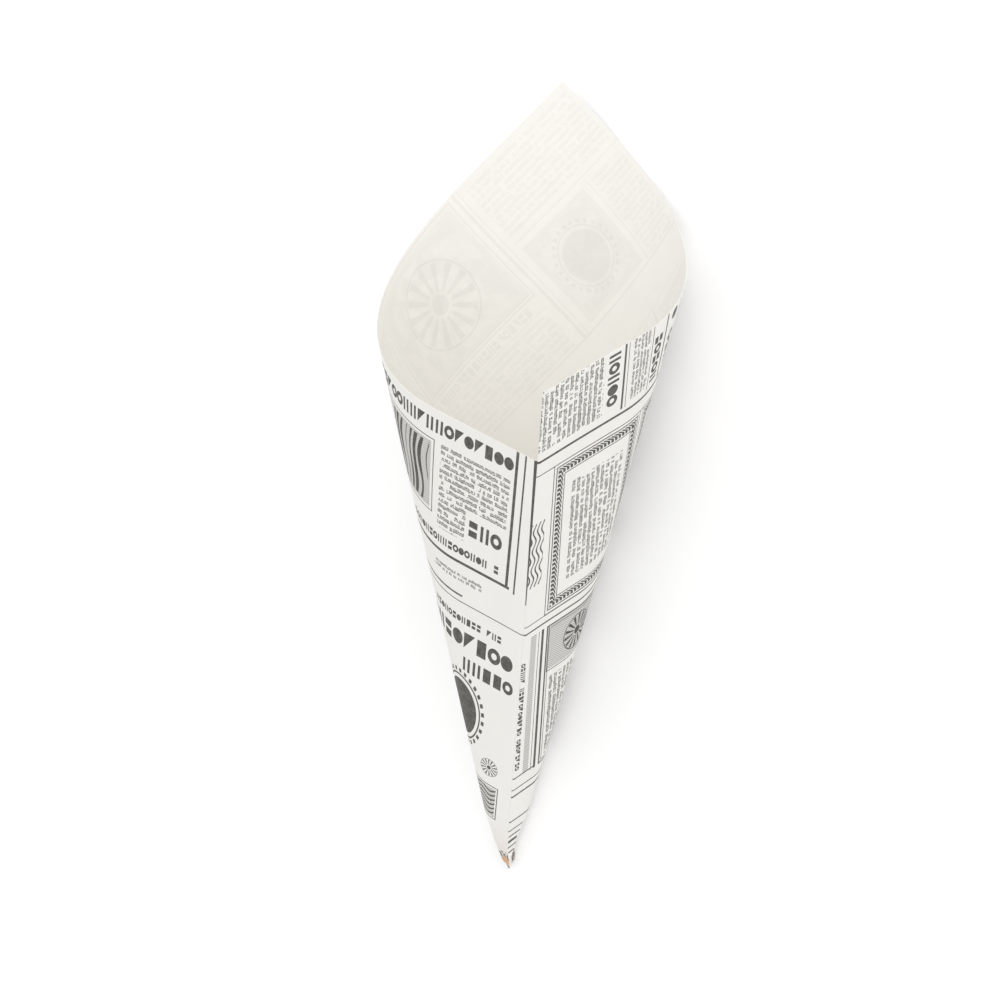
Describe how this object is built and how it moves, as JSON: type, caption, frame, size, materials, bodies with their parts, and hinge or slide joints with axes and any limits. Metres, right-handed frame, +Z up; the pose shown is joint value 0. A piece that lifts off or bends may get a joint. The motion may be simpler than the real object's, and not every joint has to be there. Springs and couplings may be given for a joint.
{
  "type": "cone paper cup",
  "caption": "Pointed food cone rolled from one sheet of greaseproof paper, with a high back, a creased front seam and a printed outside, lying on its side.",
  "frame": {"origin": "on the surface that the cone lies on, below the middle of its bounding box", "axes": "+Y along the line that the cone lies on, from the tip to the mouth; +Z up; +X to the right, seen from the tip"},
  "size_m": [0.1112, 0.2916, 0.1008],
  "materials": {
    "printed_paper": "matte"
  },
  "bodies": {
    "root": {"paper_cone": "printed_paper"}
  },
  "joints": []
}
